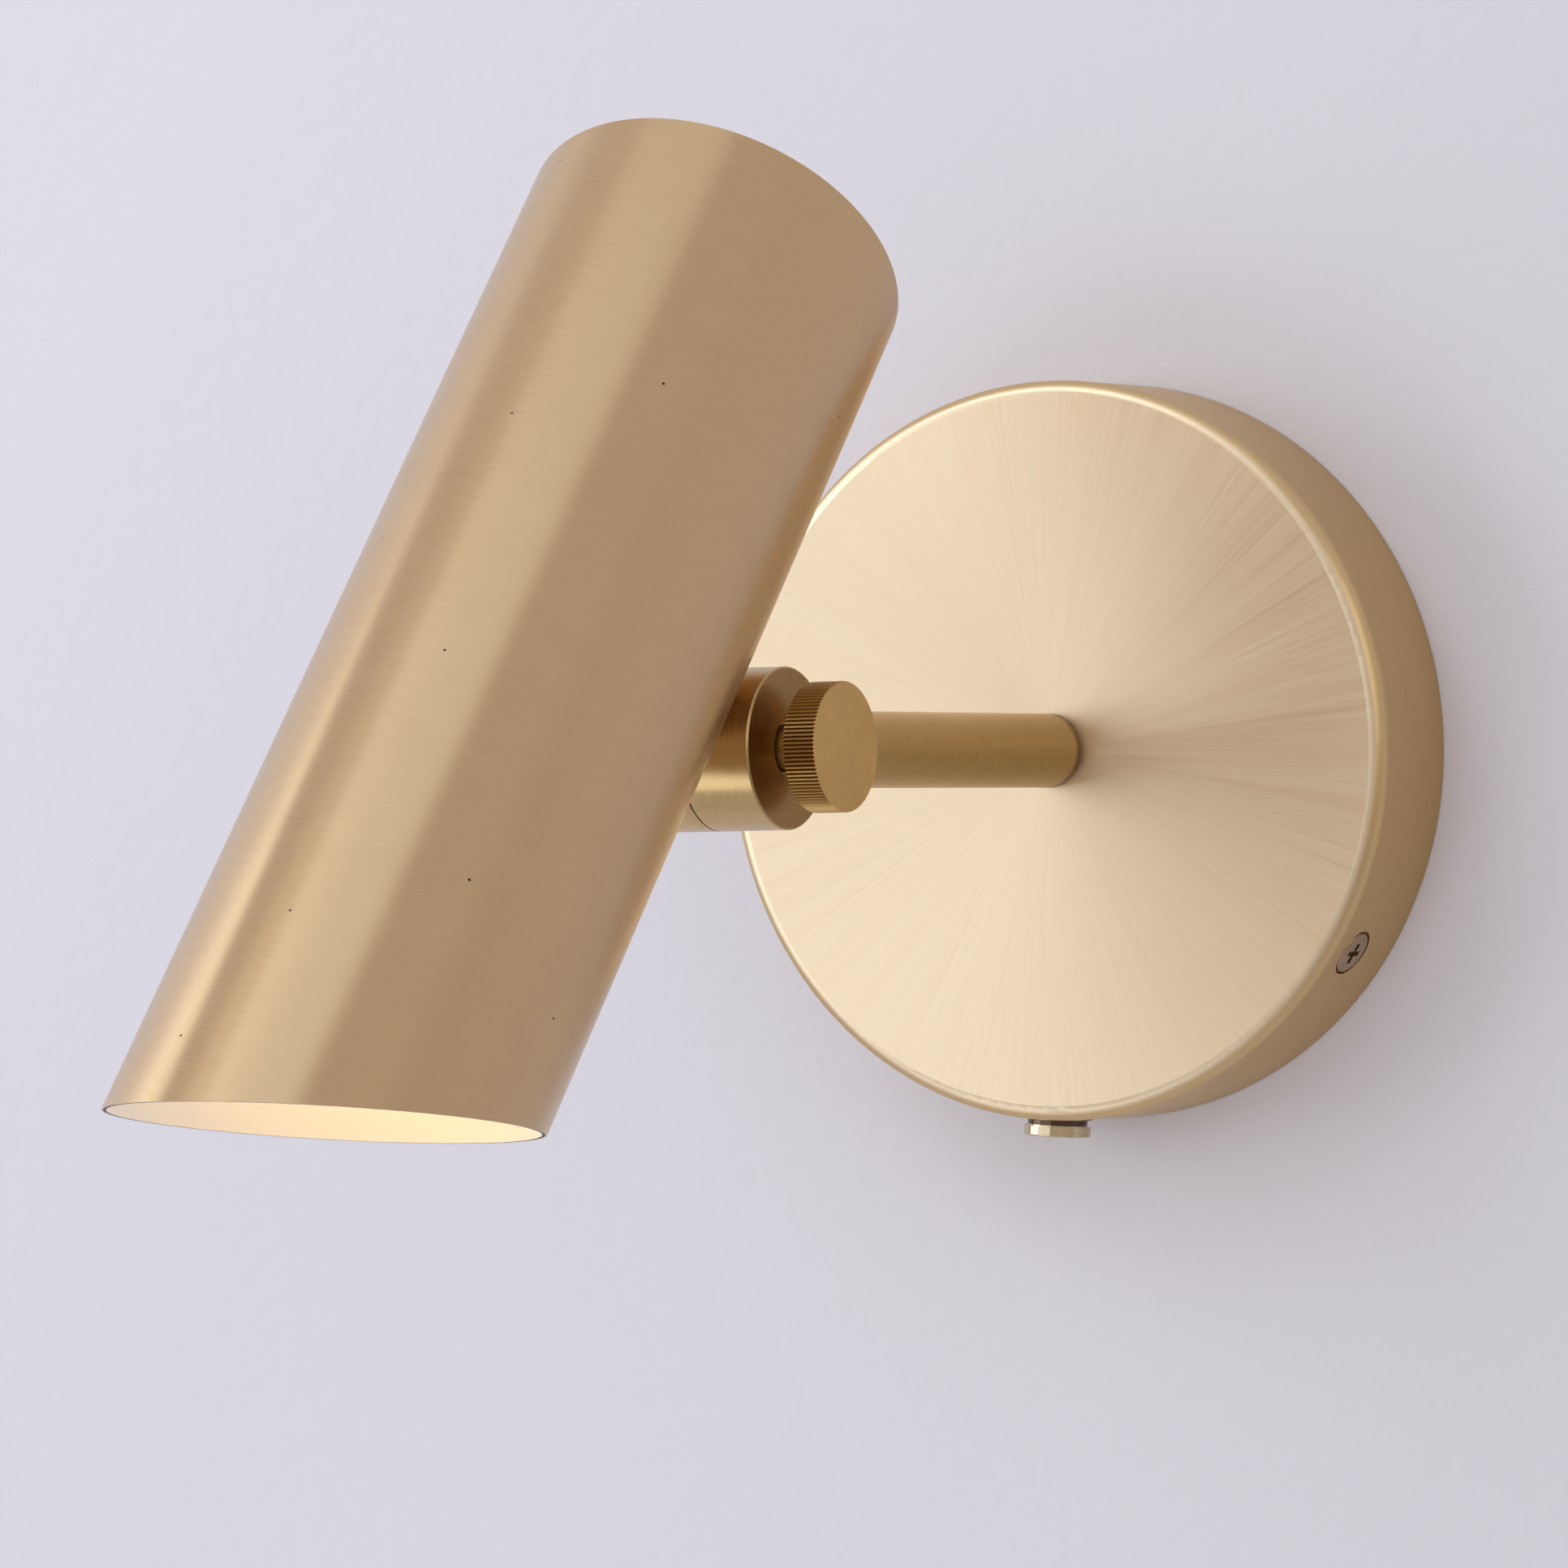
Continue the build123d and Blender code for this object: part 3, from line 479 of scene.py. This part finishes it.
def painted(name, colour, one_sided=False):
    """Matt paint with a faint roller texture; one-sided paint lets a view from behind through."""
    f = Finish(name)
    stipple = f.noise(f.local(), scale=0.25, detail=4.0)
    f.set(
        Base_Color=colour,
        Roughness=0.75,
        Specular_IOR_Level=0.2,
        Normal=f.bump(stipple, PAINT_DEPTH),
    )
    if one_sided:
        clear = f.add("ShaderNodeBsdfTransparent")
        side = f.add("ShaderNodeNewGeometry").outputs["Backfacing"]
        shaders = {0: side, 1: f.shader.outputs[0], 2: clear.outputs[0]}
        mix = f.add("ShaderNodeMixShader", shaders)
        f.put(f.tree.nodes["Material Output"], {"Surface": mix.outputs[0]})
    return f.material


# Wall just behind the canopy, open behind it so that its back is lit, and a floor well below
WALL_GAP = 0.2 * MM
WALL_HALF = 2.2
WALL_TOP = 1.1
WALL_LAP = 4 * MM
WALL_PAINT = (0.765, 0.737, 0.772, 1)
FLOOR_LEVEL = -1.6
FLOOR_REACH = 4.0
FLOOR_PAINT = (0.70, 0.69, 0.70, 1)
wall = stage_plane(
    "wall",
    [
        (-WALL_HALF, 0, FLOOR_LEVEL),
        (WALL_HALF, 0, FLOOR_LEVEL),
        (WALL_HALF, 0, WALL_TOP),
        (-WALL_HALF, 0, WALL_TOP),
    ],
    hole=canopy_radius - WALL_LAP,
)
wall.location.y = WALL_GAP
wall.data.materials.append(painted("wall_paint", WALL_PAINT, one_sided=True))
floor = stage_plane(
    "floor",
    [
        (-FLOOR_REACH, -FLOOR_REACH, FLOOR_LEVEL),
        (FLOOR_REACH, -FLOOR_REACH, FLOOR_LEVEL),
        (FLOOR_REACH, FLOOR_REACH, FLOOR_LEVEL),
        (-FLOOR_REACH, FLOOR_REACH, FLOOR_LEVEL),
    ],
)
floor.data.materials.append(painted("floor_paint", FLOOR_PAINT))


def softbox(name, place, target, size, radiance, colour):
    """An area lamp of an even brightness, turned to a target."""
    lamp = bpy.data.lights.new(name, "AREA")
    lamp.shape = "RECTANGLE"
    lamp.size, lamp.size_y = size
    lamp.energy = radiance * math.pi * size[0] * size[1]
    lamp.color = colour
    holder = bpy.data.objects.new(name, lamp)
    holder.location = place
    holder.rotation_euler = (Vector(target) - Vector(place)).to_track_quat("-Z", "Y").to_euler()
    holder.visible_camera = False
    bpy.context.scene.collection.objects.link(holder)


softbox(
    "overhead_box",
    place=(-0.11, -0.85, 1.5),
    target=(-0.11, -0.45, 0),
    size=(1.28, 0.9),
    radiance=0.76,
    colour=(0.62, 0.79, 1.0),
)
softbox(
    "left_window",
    place=(-2.0, -1.1, 0.35),
    target=(0, -0.05, 0),
    size=(1.4, 1.4),
    radiance=1.9,
    colour=(0.78, 0.87, 1.0),
)
softbox(
    "front_fill",
    place=(-1.2, -2.2, 0.15),
    target=(0, 0, 0),
    size=(3.0, 1.0),
    radiance=0.98,
    colour=(0.77, 0.86, 1.0),
)
softbox(
    "high_front",
    place=(-1.0, -1.5, 1.7),
    target=(0, 0, 0),
    size=(1.2, 0.9),
    radiance=2.6,
    colour=(0.84, 0.91, 1.0),
)
softbox(
    "low_front",
    place=(-0.95, -1.25, -1.1),
    target=(0, -0.05, 0),
    size=(0.8, 0.8),
    radiance=1.5,
    colour=(0.84, 0.91, 1.0),
)
softbox(
    "right_card",
    place=(1.9, -1.6, 0.8),
    target=(0, -0.05, 0.15),
    size=(1.6, 1.6),
    radiance=0.6,
    colour=(1.0, 0.98, 0.96),
)
softbox(
    "left_rim",
    place=(-0.64, -0.18, 0.30),
    target=(-0.04, -0.19, 0.03),
    size=(0.15, 0.4),
    radiance=1.7,
    colour=(0.76, 0.88, 1.0),
)

# World: warm below and cooler above, by the height of the direction
SKY_LOW = (0.51, 0.47, 0.42, 1)
SKY_HIGH = (0.66, 0.64, 0.69, 1)
SKY_START = 0.05
SKY_END = 0.65
world = bpy.data.worlds.new("studio")
world.use_nodes = True
sky = Nodes(world.node_tree)
toward = sky.add("ShaderNodeTexCoord").outputs["Generated"]
height = sky.add("ShaderNodeSeparateXYZ", {0: toward}).outputs["Z"]
tone = sky.blend(sky.remap(height, SKY_START, SKY_END), SKY_LOW, SKY_HIGH)
sky.put(sky.tree.nodes["Background"], {"Color": tone})
bpy.context.scene.world = world

# Camera
forward = Vector(
    (
        -math.sin(CAMERA_AZIMUTH) * math.cos(CAMERA_PITCH),
        math.cos(CAMERA_AZIMUTH) * math.cos(CAMERA_PITCH),
        math.sin(CAMERA_PITCH),
    )
)
level = Vector((math.cos(CAMERA_AZIMUTH), math.sin(CAMERA_AZIMUTH), 0))
upright = level.cross(forward)
right = level * math.cos(CAMERA_ROLL) + upright * math.sin(CAMERA_ROLL)
up = upright * math.cos(CAMERA_ROLL) - level * math.sin(CAMERA_ROLL)
camera = bpy.data.objects.new("camera", bpy.data.cameras.new("camera"))
camera.data.lens = CAMERA_LENS
camera.data.sensor_width = CAMERA_SENSOR
turn = Matrix((right, up, -forward)).transposed().to_4x4()
camera.matrix_world = Matrix.Translation(CAMERA_PLACE) @ turn
bpy.context.scene.collection.objects.link(camera)
bpy.context.scene.camera = camera
bpy.context.scene.view_settings.view_transform = "Standard"
